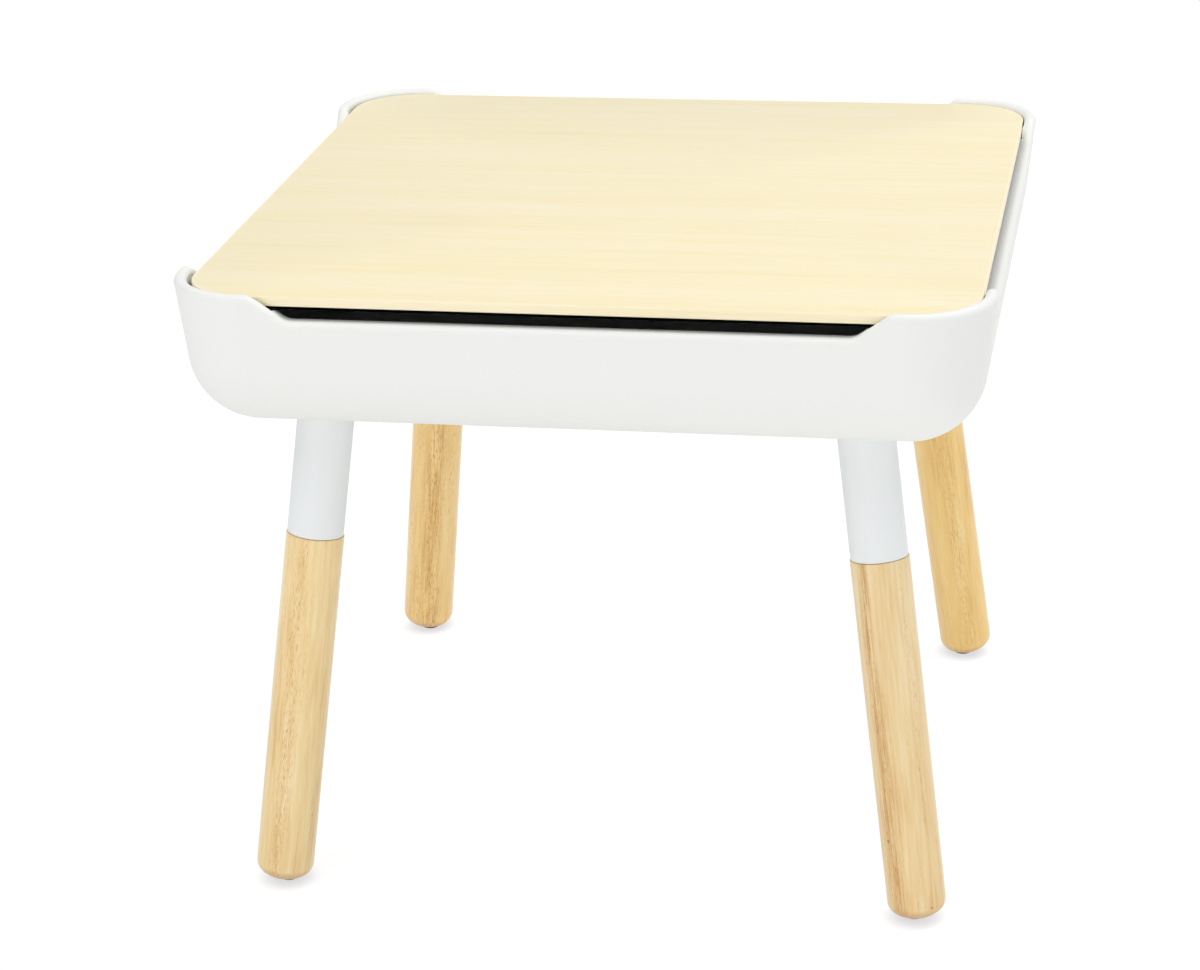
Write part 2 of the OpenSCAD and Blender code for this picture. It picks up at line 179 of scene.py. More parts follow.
def rubberwood(name, corner, tones, fleck, vein):
    """Turned rubberwood under satin lacquer: straw-coloured, with brown flecks and a darker vein.

    The tones run from the darkest grain to the lightest. Fleck is how strongly the pores show. The
    vein is a streak down one side of the leg: its direction from the table's diagonal in degrees,
    its half width in millimetres, its strength and its colour.
    """
    material, tree, output = new_material(name)
    place = add(tree, "ShaderNodeTexCoord").outputs["Object"]
    # into the leg's own frame, where the grain runs along Z
    level = add(tree, "ShaderNodeMapping", {"Vector": place,
                                            "Rotation": (0, 0, -math.radians(corner))})
    seat = Vector((LEG_SEAT * math.sqrt(2), 0, UNDERSIDE_Z))
    seat = Matrix.Rotation(LEG_SPLAY, 3, "Y") @ seat * MM
    stick = add(tree, "ShaderNodeMapping", {"Vector": level.outputs[0], "Location": -seat,
                                            "Rotation": (0, LEG_SPLAY, 0)}).outputs[0]
    # each leg is cut from another place in the wood
    blank = add(tree, "ShaderNodeMapping", {
        "Vector": stick, "Location": (corner * 0.013, corner * 0.007, 0)}).outputs[0]

    # noise drawn out along the grain: its width across in millimetres, its stretch and its detail
    grain = {}
    for kind, width_mm, stretch, detail in (
            ("ring", 2.2, 18, 6), ("board", 15, 8, 4), ("sway", 28, 4, 3),
            ("fibre", 1.4, 30, 3), ("pore", 0.55, 9, 1), ("line", 6, 24, 2)):
        drawn = add(tree, "ShaderNodeMapping", {"Vector": blank, "Scale": (1, 1, 1 / stretch)})
        grain[kind] = add(tree, "ShaderNodeTexNoise", {
            "Vector": drawn.outputs[0], "Detail": detail, "Scale": per_metre(width_mm)}).outputs[0]
    board = add(tree, "ShaderNodeMix", {0: 0.4, 2: grain["board"], 3: grain["ring"]})
    tone = add(tree, "ShaderNodeValToRGB", {0: board.outputs[0]})
    set_ramp(tone, list(zip((0.34, 0.45, 0.56, 0.68), tones)))

    # the vein wanders a little on its way down, and is strongest along the fibres
    direction, half_width, strength, vein_colour = vein
    faced = add(tree, "ShaderNodeMapping", {"Vector": stick,
                                            "Rotation": (0, 0, -math.radians(direction))})
    seen = add(tree, "ShaderNodeSeparateXYZ", {0: faced.outputs[0]})
    sway = add(tree, "ShaderNodeMath", {0: grain["sway"], 1: 0.5}, operation="SUBTRACT")
    sway = add(tree, "ShaderNodeMath", {0: sway.outputs[0], 1: 14 * MM}, operation="MULTIPLY")
    aside = add(tree, "ShaderNodeMath", {0: seen.outputs["Y"], 1: sway.outputs[0]},
                operation="ADD")
    aside = add(tree, "ShaderNodeMath", {0: aside.outputs[0]}, operation="ABSOLUTE")
    near = add(tree, "ShaderNodeMapRange", {0: aside.outputs[0], 1: half_width * MM,
                                            2: 0.25 * half_width * MM})
    outside = add(tree, "ShaderNodeMapRange", {0: seen.outputs["X"], 1: 0.0, 2: 6 * MM})
    band = add(tree, "ShaderNodeMath", {0: near.outputs[0], 1: outside.outputs[0]},
               operation="MULTIPLY").outputs[0]
    fibres = add(tree, "ShaderNodeMapRange", {0: grain["fibre"], 1: 0.4, 2: 0.62})
    streaks = add(tree, "ShaderNodeMath", {0: band, 1: fibres.outputs[0]}, operation="MULTIPLY")
    streaks = add(tree, "ShaderNodeMath", {0: streaks.outputs[0], 1: strength},
                  operation="MULTIPLY")
    # pores show as fine dark flecks, most of them in the vein
    pores = add(tree, "ShaderNodeMapRange", {0: grain["pore"], 1: 0.57, 2: 0.66, 4: fleck})
    lines = add(tree, "ShaderNodeMapRange", {0: grain["line"], 1: 0.5, 2: 0.64, 4: 0.6})
    where = add(tree, "ShaderNodeMath", {0: band, 1: lines.outputs[0]}, operation="MAXIMUM")
    flecks = add(tree, "ShaderNodeMath", {0: pores.outputs[0], 1: where.outputs[0]},
                 operation="MULTIPLY")
    # a few pin knots
    cells = add(tree, "ShaderNodeTexVoronoi", {"Vector": blank, "Scale": per_metre(52)})
    knots = add(tree, "ShaderNodeMapRange", {0: cells.outputs["Distance"], 1: 0.028, 2: 0.014,
                                             4: 0.8})
    # the round foot cuts across the grain, and end grain takes the lacquer darker; this darkening,
    # strongest where the foot faces the floor, is also painted shade under the foot
    facing = add(tree, "ShaderNodeNewGeometry").outputs["Normal"]
    axis = leg_frame(corner).to_3x3() @ Vector((0, 0, -1))
    across = add(tree, "ShaderNodeVectorMath", {0: facing, 1: axis}, operation="DOT_PRODUCT")
    end_grain_and_painted_shade = add(tree, "ShaderNodeMapRange", {0: across.outputs["Value"], 1: 0.2, 2: 0.95, 4: 0.8})
    colour = tone.outputs[0]
    for amount, code in ((streaks, vein_colour), (flecks, "#A8722F"), (knots, "#7E4F22"),
                         (end_grain_and_painted_shade, "#B9833F")):
        colour = add(tree, "ShaderNodeMix", {0: amount.outputs[0], 6: colour,
                                             7: hex_colour(code)}, data_type="RGBA").outputs[2]
    relief = add(tree, "ShaderNodeBump", {"Height": grain["ring"], "Strength": 0.1,
                                          "Distance": 0.08 * MM})
    shader = add(tree, "ShaderNodeBsdfPrincipled", {
        "Base Color": colour, "Roughness": 0.45, "IOR": 1.5, "Coat Weight": 0.6,
        "Coat Roughness": 0.25, "Normal": relief.outputs[0]})
    tree.links.new(shader.outputs[0], output.inputs[0])
    return material


def plain_finish(name, colour, roughness, grain_mm, relief_mm, metallic=0.0, specular=0.5):
    """A finish of one colour whose surface is broken up by a grain of this size and depth."""
    material, tree, output = new_material(name)
    place = add(tree, "ShaderNodeTexCoord").outputs["Object"]
    grain = add(tree, "ShaderNodeTexNoise", {"Vector": place, "Scale": per_metre(grain_mm),
                                             "Detail": 4})
    gloss = add(tree, "ShaderNodeMapRange", {0: grain.outputs[0], 3: roughness - 0.06,
                                             4: roughness + 0.06})
    relief = add(tree, "ShaderNodeBump", {"Height": grain.outputs[0], "Strength": 0.3,
                                          "Distance": relief_mm * MM})
    shader = add(tree, "ShaderNodeBsdfPrincipled", {
        "Base Color": hex_colour(colour), "Metallic": metallic, "Roughness": gloss.outputs[0],
        "Specular IOR Level": specular, "Normal": relief.outputs[0]})
    tree.links.new(shader.outputs[0], output.inputs[0])
    return material


tub_white = moulded_polypropylene("tub_moulded_polypropylene", "#ECEDEA")
# the sleeves' copy of the tub's plastic is a little darker and greyer: painted shade for their
# place under the tub
sleeve_white_painted_shade = moulded_polypropylene("sleeve_polypropylene_painted_shade", "#E8EBEB")
lid_veneer = maple_veneer("lid_maple_veneer", ("#EFE0B1", "#F3E6BC", "#F4E9C6", "#F6EED4"))
lid_band = maple_veneer("lid_maple_edge_band", ("#F3E5BC", "#F7EBC7", "#F8EED0", "#FAF3DE"))
# raw fibreboard: matt and fluffy, only its edges could ever show
lid_board = plain_finish("lid_fibreboard", "#BE9F72", 0.85, 1.5, 0.1)
# melamine-faced backing sheet: coloured black as painted shade for the finger slot under the lid,
# and matt enough to give no glare in the finger slot
backing_painted_shade_black = plain_finish("lid_backing_painted_shade_black", "#040404", 0.8, 1.0, 0.02, specular=0.0)
# moulded rubber: grey and matt, with a slight bloom
bumper_rubber = plain_finish("bumper_moulded_rubber", "#B9BBBB", 0.7, 0.8, 0.05)
# zinc-plated steel: cool grey, with a dull shine
bolt_zinc = plain_finish("bolt_zinc_plated_steel", "#C9CBCE", 0.32, 0.6, 0.01, metallic=1.0)
# turned brass: yellow, with a brighter shine
insert_brass = plain_finish("insert_turned_brass", "#C6A65C", 0.3, 0.6, 0.01, metallic=1.0)
# moulded nylon: dull, and a little scuffed from the floor
glide_nylon = plain_finish("glide_moulded_nylon", "#5A524B", 0.55, 1.2, 0.05)

# Rubberwood as it is sawn: pale sapwood at the front, deeper-coloured heartwood at the back
SAPWOOD = ("#DDB677", "#EBCC8F", "#F1D79F", "#F6E2B4")
STRAW_SAPWOOD = ("#D6AE71", "#E3C389", "#E9CE99", "#EFDAAD")
HEARTWOOD = ("#DEAF60", "#EDC678", "#F3CE82", "#F7DB96")
PALE_HEARTWOOD = ("#E4B46A", "#F2CC82", "#F7D48E", "#FADFA2")
# each leg's tones, how strongly its pores show, and its vein
LEG_BLANKS = {
    "front_left": (SAPWOOD, 0.55, (38, 9, 0.4, "#D9A75D")),
    "front_right": (STRAW_SAPWOOD, 0.55, (-76, 7, 0.75, "#C38A40")),
    "back_right": (HEARTWOOD, 0.4, (-120, 10, 0.25, "#D09A4C")),
    "back_left": (PALE_HEARTWOOD, 0.7, (146, 13, 0.65, "#CC944A")),
}
leg_wood = {place: rubberwood("leg_rubberwood_" + place, CORNERS[place], *blank)
            for place, blank in LEG_BLANKS.items()}

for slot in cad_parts["storage_tub"].material_slots:
    slot.material = tub_white


# ---------------------------------------------------------------- geometry trees

def new_geometry_tree(name, sizes):
    """A geometry tree, its input node and its output node.

    Each size is a name, a kind of socket and a value.
    """
    tree = bpy.data.node_groups.new(name, "GeometryNodeTree")
    tree.interface.new_socket("Geometry", in_out="INPUT", socket_type="NodeSocketGeometry")
    for label, kind, value in sizes + [("Finish", "NodeSocketMaterial", None)]:
        socket = tree.interface.new_socket(label, in_out="INPUT", socket_type=kind)
        if value is not None:
            socket.default_value = value
    tree.interface.new_socket("Geometry", in_out="OUTPUT", socket_type="NodeSocketGeometry")
    return tree, add(tree, "NodeGroupInput"), add(tree, "NodeGroupOutput")


def finish_tree(tree, given, made, shape, crisp):
    """Smooths a shape but for edges sharper than this, and gives it its finish."""
    soft = add(tree, "GeometryNodeSetShadeSmooth", {"Geometry": shape, "Shade Smooth": True})
    angle = add(tree, "GeometryNodeInputMeshEdgeAngle")
    sharp = add(tree, "FunctionNodeCompare", {0: angle.outputs["Unsigned Angle"], 1: crisp},
                data_type="FLOAT", operation="GREATER_THAN")
    edged = add(tree, "GeometryNodeSetShadeSmooth", {"Geometry": soft.outputs[0],
                                                     "Selection": sharp.outputs[0],
                                                     "Shade Smooth": False}, domain="EDGE")
    whole = add(tree, "GeometryNodeRealizeInstances", {"Geometry": edged.outputs[0]})
    faced = add(tree, "GeometryNodeSetMaterial", {"Geometry": whole.outputs[0],
                                                  "Material": given.outputs["Finish"]})
    tree.links.new(faced.outputs[0], made.inputs["Geometry"])


def build_section_tree():
    """Carries a section round a square whose corners turn about four axes.

    With no square, that is a lathe. The section is the start mesh's points in order. X is the
    distance out from the corner axis, and below zero it runs in to the middle of the square. Z is
    the height. Y is 1 where the piece is six-sided, as in a hexagon socket.
    """
    tree, given, made = new_geometry_tree("section_round_square", [
        ("Half square", "NodeSocketFloat", 0.0),
        ("Corner steps", "NodeSocketInt", 16),
        ("Side steps", "NodeSocketInt", 1),
        ("Crisp edge", "NodeSocketFloat", CRISP)])
    half, corner_steps, side_steps = (given.outputs[n] for n in
                                      ("Half square", "Corner steps", "Side steps"))
    section = given.outputs["Geometry"]
    points = add(tree, "GeometryNodeAttributeDomainSize", {"Geometry": section},
                 component="MESH").outputs["Point Count"]
    # one column of the grid for each place round the square, one row for each point of the section
    per_quarter = add(tree, "FunctionNodeIntegerMath", {0: corner_steps, 1: side_steps},
                      operation="ADD").outputs[0]
    columns = add(tree, "FunctionNodeIntegerMath", {0: per_quarter, 1: 4, 2: 1},
                  operation="MULTIPLY_ADD")
    grid = add(tree, "GeometryNodeMeshGrid", {"Vertices X": columns.outputs[0],
                                              "Vertices Y": points})
    index = add(tree, "GeometryNodeInputIndex").outputs[0]
    column = add(tree, "FunctionNodeIntegerMath", {0: index, 1: points}, operation="DIVIDE_FLOOR")
    row = add(tree, "FunctionNodeIntegerMath", {0: index, 1: points}, operation="MODULO")
    quarter = add(tree, "FunctionNodeIntegerMath", {0: column.outputs[0], 1: per_quarter},
                  operation="DIVIDE_FLOOR").outputs[0]
    step = add(tree, "FunctionNodeIntegerMath", {0: column.outputs[0], 1: per_quarter},
               operation="MODULO").outputs[0]
    # each quarter turns through its corner first, then runs along its side
    turned = add(tree, "ShaderNodeMath", {0: step, 1: corner_steps}, operation="MINIMUM")
    turn_share = add(tree, "ShaderNodeMath", {0: turned.outputs[0], 1: corner_steps},
                     operation="DIVIDE")
    turn = add(tree, "ShaderNodeMath", {0: turn_share.outputs[0], 1: math.pi / 2},
               operation="MULTIPLY").outputs[0]
    past = add(tree, "ShaderNodeMath", {0: step, 1: corner_steps}, operation="SUBTRACT")
    run = add(tree, "ShaderNodeMath", {0: past.outputs[0], 1: 0.0}, operation="MAXIMUM")
    run_share = add(tree, "ShaderNodeMath", {0: run.outputs[0], 1: side_steps}, operation="DIVIDE")
    side_x = add(tree, "ShaderNodeMath", {0: run_share.outputs[0], 1: -2.0, 2: 1.0},
                 operation="MULTIPLY_ADD")
    path_x = add(tree, "ShaderNodeMath", {0: side_x.outputs[0], 1: half}, operation="MULTIPLY")
    path = add(tree, "ShaderNodeCombineXYZ", {"X": path_x.outputs[0], "Y": half})
    cosine = add(tree, "ShaderNodeMath", {0: turn}, operation="COSINE")
    sine = add(tree, "ShaderNodeMath", {0: turn}, operation="SINE")
    outward = add(tree, "ShaderNodeCombineXYZ", {"X": cosine.outputs[0], "Y": sine.outputs[0]})
    # the section's point for this row
    here = add(tree, "GeometryNodeInputPosition")
    sampled = add(tree, "GeometryNodeSampleIndex", {"Geometry": section, "Value": here.outputs[0],
                                                    "Index": row.outputs[0]},
                  data_type="FLOAT_VECTOR", domain="POINT")
    point = add(tree, "ShaderNodeSeparateXYZ", {0: sampled.outputs[0]})
    # a hexagon reaches further out between its flats
    sixth = add(tree, "ShaderNodeMath", {0: turn, 1: math.radians(30)}, operation="ADD")
    sixth = add(tree, "ShaderNodeMath", {0: sixth.outputs[0], 1: math.radians(60)},
                operation="FLOORED_MODULO")
    off_flat = add(tree, "ShaderNodeMath", {0: sixth.outputs[0], 1: math.radians(30)},
                   operation="SUBTRACT")
    flat_cosine = add(tree, "ShaderNodeMath", {0: off_flat.outputs[0]}, operation="COSINE")
    reach = add(tree, "ShaderNodeMath", {0: 1.0, 1: flat_cosine.outputs[0]}, operation="DIVIDE")
    six_sided = add(tree, "ShaderNodeMix", {0: point.outputs["Y"], 2: 1.0, 3: reach.outputs[0]})
    beyond = add(tree, "ShaderNodeMath", {0: point.outputs["X"], 1: 0.0}, operation="MAXIMUM")
    radius = add(tree, "ShaderNodeMath", {0: beyond.outputs[0], 1: six_sided.outputs[0]},
                 operation="MULTIPLY")
    within = add(tree, "ShaderNodeMath", {0: point.outputs["X"], 1: 0.0}, operation="MINIMUM")
    inward = add(tree, "ShaderNodeMath", {0: within.outputs[0], 1: half}, operation="DIVIDE")
    shrink = add(tree, "ShaderNodeMath", {0: inward.outputs[0], 1: 1.0}, operation="ADD")
    base = add(tree, "ShaderNodeVectorMath", {0: path.outputs[0], "Scale": shrink.outputs[0]},
               operation="SCALE")
    reached = add(tree, "ShaderNodeVectorMath", {0: outward.outputs[0], "Scale": radius.outputs[0]},
                  operation="SCALE")
    flat_place = add(tree, "ShaderNodeVectorMath", {0: base.outputs[0], 1: reached.outputs[0]},
                     operation="ADD")
    height = add(tree, "ShaderNodeCombineXYZ", {"Z": point.outputs["Z"]})
    place = add(tree, "ShaderNodeVectorMath", {0: flat_place.outputs[0], 1: height.outputs[0]},
                operation="ADD")
    quarter_turn = add(tree, "ShaderNodeMath", {0: quarter, 1: math.pi / 2}, operation="MULTIPLY")
    round_place = add(tree, "ShaderNodeVectorRotate", {"Vector": place.outputs[0],
                                                       "Angle": quarter_turn.outputs[0]},
                      rotation_type="Z_AXIS")
    shaped = add(tree, "GeometryNodeSetPosition", {"Geometry": grid.outputs["Mesh"],
                                                   "Position": round_place.outputs[0]})
    closed = add(tree, "GeometryNodeMergeByDistance", {"Geometry": shaped.outputs[0],
                                                       "Distance": 0.005 * MM})
    finish_tree(tree, given, made, closed.outputs[0], given.outputs["Crisp edge"])
    return tree


def build_thread_tree():
    """A screw thread: a triangular ridge wound round a shank, which is the start mesh."""
    tree, given, made = new_geometry_tree("screw_thread", [
        ("Core radius", "NodeSocketFloat", 3.4 * MM),
        ("Pitch", "NodeSocketFloat", 1.25 * MM),
        ("Length", "NodeSocketFloat", 40 * MM),
        ("Ridge", "NodeSocketFloat", 0.6 * MM),
        ("Start", "NodeSocketFloat", -70 * MM)])
    turns = add(tree, "ShaderNodeMath", {0: given.outputs["Length"], 1: given.outputs["Pitch"]},
                operation="DIVIDE")
    helix = add(tree, "GeometryNodeCurveSpiral", {
        "Resolution": 24, "Rotations": turns.outputs[0], "Height": given.outputs["Length"],
        "Start Radius": given.outputs["Core radius"], "End Radius": given.outputs["Core radius"]})
    ridge = add(tree, "GeometryNodeCurvePrimitiveCircle", {"Resolution": 3,
                                                           "Radius": given.outputs["Ridge"]})
    wound = add(tree, "GeometryNodeCurveToMesh", {"Curve": helix.outputs[0],
                                                  "Profile Curve": ridge.outputs[0],
                                                  "Fill Caps": True})
    start = add(tree, "ShaderNodeCombineXYZ", {"Z": given.outputs["Start"]})
    placed = add(tree, "GeometryNodeTransform", {"Geometry": wound.outputs[0],
                                                 "Translation": start.outputs[0]})
    both = add(tree, "GeometryNodeJoinGeometry")
    tree.links.new(given.outputs["Geometry"], both.inputs[0])
    tree.links.new(placed.outputs[0], both.inputs[0])
    finish_tree(tree, given, made, both.outputs[0], CRISP)
    return tree


def build_leg_set_tree():
    """Sets one piece, made in a leg's own frame, at the head of all four legs."""
    tree, given, made = new_geometry_tree("one_at_each_leg", [
        ("Seat", "NodeSocketFloat", LEG_SEAT * MM * math.sqrt(2)),
        ("Height", "NodeSocketFloat", UNDERSIDE_Z * MM),
        ("Splay", "NodeSocketFloat", LEG_SPLAY)])
    ring = add(tree, "GeometryNodeMeshCircle", {"Vertices": 4, "Radius": given.outputs["Seat"]})
    lift = add(tree, "ShaderNodeCombineXYZ", {"Z": given.outputs["Height"]})
    seats = add(tree, "GeometryNodeTransform", {"Geometry": ring.outputs[0],
                                                "Translation": lift.outputs[0],
                                                "Rotation": (0, 0, math.radians(45))})
    index = add(tree, "GeometryNodeInputIndex")
    facing = add(tree, "ShaderNodeMath", {0: index.outputs[0], 1: math.pi / 2, 2: math.pi / 4},
                 operation="MULTIPLY_ADD")
    lean = add(tree, "ShaderNodeMath", {0: given.outputs["Splay"], 1: -1.0}, operation="MULTIPLY")
    angles = add(tree, "ShaderNodeCombineXYZ", {"Y": lean.outputs[0], "Z": facing.outputs[0]})
    turn = add(tree, "FunctionNodeEulerToRotation", {0: angles.outputs[0]})
    set_of_four = add(tree, "GeometryNodeInstanceOnPoints", {
        "Points": seats.outputs[0], "Instance": given.outputs["Geometry"],
        "Rotation": turn.outputs[0]})
    finish_tree(tree, given, made, set_of_four.outputs[0], CRISP)
    return tree


SECTION_TREE = build_section_tree()
THREAD_TREE = build_thread_tree()
LEG_SET_TREE = build_leg_set_tree()


def run_tree(tree, mesh, sizes):
    """Runs a geometry tree on a mesh, and gives the result as a plain mesh."""
    start = bpy.data.objects.new(mesh.name, mesh)
    bpy.context.scene.collection.objects.link(start)
    modifier = start.modifiers.new("shape", "NODES")
    modifier.node_group = tree
    sockets = {item.name: item.identifier for item in tree.interface.items_tree
               if item.in_out == "INPUT"}
    for label, value in sizes.items():
        modifier[sockets[label]] = value
    graph = bpy.context.evaluated_depsgraph_get()
    result = bpy.data.meshes.new_from_object(start.evaluated_get(graph), depsgraph=graph)
    bpy.data.objects.remove(start)
    return result


def arc(x, z, radius, start, end, steps=6):
    """Points of a section along an arc, with its angles in degrees."""
    angles = [math.radians(start + (end - start) * i / steps) for i in range(steps + 1)]
    return [(x + radius * math.cos(a), z + radius * math.sin(a)) for a in angles]


def round_square(name, section, finish, half=0.0, corner_steps=16, side_steps=1):
    """A mesh with this section in millimetres, carried round a square or turned on a lathe."""
    row = bpy.data.meshes.new(name)
    points = [(p[0] * MM, p[2] if len(p) > 2 else 0, p[1] * MM) for p in section]
    row.from_pydata(points, [(i, i + 1) for i in range(len(points) - 1)], [])
    mesh = run_tree(SECTION_TREE, row, {"Half square": half * MM, "Corner steps": corner_steps,
                                        "Side steps": side_steps, "Finish": finish})
    shell = bmesh.new()
    shell.from_mesh(mesh)
    bmesh.ops.recalc_face_normals(shell, faces=shell.faces)
    shell.to_mesh(mesh)
    shell.free()
    return mesh


def plate(name, low, high, edge, arris, finish):
    """A flat square sheet with rounded corners and this small arris all round."""
    section = [(-CORNER_AXIS, low)] + arc(edge - arris, low + arris, arris, -90, 0, 3)
    section += arc(edge - arris, high - arris, arris, 0, 90, 3) + [(-CORNER_AXIS, high)]
    return round_square(name, section, finish, CORNER_AXIS, 24)


def cut_level(mesh, frame_of_leg, level, side):
    """Trims a leaning piece at this height: points beyond it slide back along the leg."""
    along = frame_of_leg.to_3x3() @ Vector((0, 0, 1))
    for vertex in mesh.vertices:
        over = (vertex.co.z - level * MM) * side
        if over > 0:
            vertex.co -= along * (over * side / along.z)


def add_piece(name, mesh, body):
    """Puts a finished mesh in the scene, in place of the solid of the same name."""
    if body == "lid":
        mesh.transform(Matrix.Translation((LID_PLAY[0] * MM, LID_PLAY[1] * MM, 0)))
    mesh.name = name
    piece = bpy.data.objects.new("visual_" + name, mesh)
    bpy.context.scene.collection.objects.link(piece)
    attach(piece, body)
    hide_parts(name)


# ---------------------------------------------------------------- lid

inner = LID_CORNER - BAND_T
band_low = LID_Z + BACKING_T
band_arris = 1.2
add_piece("lid_core", plate("core", band_low, LID_TOP_Z - VENEER_T, inner, 0.1, lid_board),
          "lid")
add_piece("lid_top_veneer",
          plate("veneer", LID_TOP_Z - VENEER_T, LID_TOP_Z, inner, 0.1, lid_veneer),
          "lid")
add_piece("lid_backing", plate("backing", LID_Z, band_low, LID_CORNER - 0.3, 0.2, backing_painted_shade_black),
          "lid")
# the band's upper outer arris is rounded over, the others are only eased
band_section = arc(inner + 0.1, band_low + 0.1, 0.1, 180, 270, 2)
band_section += arc(LID_CORNER - 0.3, band_low + 0.3, 0.3, 270, 360, 3)
band_section += arc(LID_CORNER - band_arris, LID_TOP_Z - band_arris, band_arris, 0, 90, 8)
band_section += arc(inner + 0.1, LID_TOP_Z - 0.1, 0.1, 90, 180, 2)
add_piece("lid_edge_band", round_square("band", band_section + band_section[:1], lid_band,
                                        CORNER_AXIS, 24), "lid")


# ---------------------------------------------------------------- rim

# The rolled rim runs smoothly into the flange inside a notch's lip. Up the slope at each end the
# flange narrows to clear the lid's edge, and it dies into the high rim.

def slope_stations():
    """The middle of the rolled rim along one end of a notch.

    Each station is how far along the side it is, how far up the leaning wall from the high rim, and
    how steep the rim is there.
    """
    foot = [(NOTCH_LOW + FOOT_BEND * math.sin(a), FOOT_BEND * (1 - math.cos(a)) - NOTCH_DEPTH, a)
            for a in (SLOPE * i / 8 for i in range(9))]
    start, low = foot[-1][:2]
    slope = [(start + STRAIGHT * math.cos(SLOPE) * i / 24,
              low + STRAIGHT * math.sin(SLOPE) * i / 24, SLOPE) for i in range(1, 24)]
    head = [(NOTCH_HIGH - HEAD_BEND * math.sin(a), -HEAD_BEND * (1 - math.cos(a)), a)
            for a in (SLOPE * (1 - i / 6) for i in range(7))]
    # the first one is on the notch's level floor, well before the bend
    return [(185, -NOTCH_DEPTH, 0)] + foot + slope + head


def flange_rows():
    """Sections of the flange from a notch's middle to its end, each a ring of points."""
    rows = []
    for y, up, steep in slope_stations():
        # a hair over the solid's flange, which it covers
        top = RIM_Z + up * math.cos(RIM_LEAN) + (FLANGE_RISE + 0.03) * math.cos(steep)
        along = y - FLANGE_RISE * math.sin(steep)
        middle = RIM_X + up * math.sin(RIM_LEAN)
        narrowed = min(max((top - (LID_Z - LID_CLEARANCE)) / LID_SETBACK_RISE, 0), 1)
        ended = min(max((along - END_START) / END_RUN, 0), 1)
        edge = FLANGE_EDGE + LID_SETBACK * narrowed + END_SETBACK * ended
        # over the rolled rim, in a shallow hollow down to the flange, and round its inner edge
        ring = [(middle + 2, 0.8), (middle + 1, 1.24)]
        ring += [(middle + (edge + 0.4 - middle) * i / 8,
                  CROWN * (0.5 + 0.5 * math.cos(math.pi * i / 8))) for i in range(9)]
        ring += [(edge + 0.12, -0.12), (edge, -0.4), (edge, -FLANGE_T), (middle + 2, -FLANGE_T)]
        rows.append([Vector((x, along - rise * math.sin(steep), top + rise * math.cos(steep))) * MM
                     for x, rise in ring])
    return rows


def notch_flanges():
    """The flange of the notch on each of the four sides, as one mesh."""
    shell = bmesh.new()
    half = flange_rows()
    rows = [[Vector((p.x, -p.y, p.z)) for p in row] for row in reversed(half)] + half
    for quarter in range(4):
        turn = Matrix.Rotation(quarter * math.pi / 2, 4, "Z")
        rings = [[shell.verts.new(turn @ point) for point in row] for row in rows]
        for first, second in zip(rings, rings[1:]):
            for i in range(len(first)):
                j = (i + 1) % len(first)
                shell.faces.new((first[i], first[j], second[j], second[i]))
        shell.faces.new(rings[0])
        shell.faces.new(rings[-1])
    bmesh.ops.recalc_face_normals(shell, faces=shell.faces)
    for face in shell.faces:
        face.smooth = True
    mesh = bpy.data.meshes.new("notch_flanges")
    shell.to_mesh(mesh)
    shell.free()
    mesh.set_sharp_from_angle(angle=CRISP)
    mesh.materials.append(tub_white)
    return mesh


flanges = bpy.data.objects.new("visual_notch_flanges", notch_flanges())
bpy.context.scene.collection.objects.link(flanges)
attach(flanges, "stand")


# ---------------------------------------------------------------- legs

# The leg as turned: insert hole and bolt hole down its middle, spigot, shoulder, shank, round foot.
# A hairline joint is left under the sleeve.
SHOULDER = SLEEVE_END - 0.35
LEG_R, SPIGOT_R, INSERT_HOLE, BOLT_HOLE = 22.2, 18, 6.05, 4.3
INSERT_TOP, INSERT_FOOT = -45, -65
# the foot: a rounded edge that runs into a flatter ball, and how far round the one gives way
FOOT_EDGE_R, FOOT_EDGE_Z, BALL_R, BALL_Z, BALL_START = 10.8, -373.77, 30, -358.32, -53.6
leg_section = [(0, -72), (BOLT_HOLE, -72), (BOLT_HOLE, INSERT_FOOT), (INSERT_HOLE, INSERT_FOOT),
               (INSERT_HOLE, INSERT_TOP), (16.5, INSERT_TOP), (SPIGOT_R, -46.5),
               (SPIGOT_R, SHOULDER)]
leg_section += arc(LEG_R - 0.7, SHOULDER - 0.7, 0.7, 90, 0, 4)
leg_section += [(LEG_R, z) for z in range(-130, -360, -25)]
leg_section += arc(LEG_R - FOOT_EDGE_R, FOOT_EDGE_Z, FOOT_EDGE_R, 0, BALL_START, 10)
leg_section += arc(0, BALL_Z, BALL_R, BALL_START, -90, 12)[1:]
# The sleeve: a tube with a web near its top, bored for the bolt
SLEEVE_R, SLEEVE_BORE = 21.5, 18.3
sleeve_section = [(SLEEVE_BORE, SLEEVE_END)]
sleeve_section += arc(SLEEVE_R - 0.5, SLEEVE_END + 0.5, 0.5, -90, 0, 3)
sleeve_section += [(SLEEVE_R, z) for z in range(-90, 0, 15)] + [(SLEEVE_R, 4), (SLEEVE_BORE, 4)]
sleeve_section += [(SLEEVE_BORE, -11), (BOLT_HOLE, -11), (BOLT_HOLE, -17), (SLEEVE_BORE, -17),
                   (SLEEVE_BORE, SLEEVE_END)]
for place, angle in CORNERS.items():
    frame_of_leg = leg_frame(angle)
    leg = round_square("leg", leg_section, leg_wood[place])
    leg.transform(frame_of_leg)
    cut_level(leg, frame_of_leg, 2, -1)
    add_piece("leg_" + place, leg, "stand")
    sleeve = round_square("sleeve", sleeve_section, sleeve_white_painted_shade)
    sleeve.transform(frame_of_leg)
    cut_level(sleeve, frame_of_leg, UNDERSIDE_Z, 1)
    add_piece("leg_sleeve_" + place, sleeve, "stand")


# ---------------------------------------------------------------- fasteners, glides and bumpers

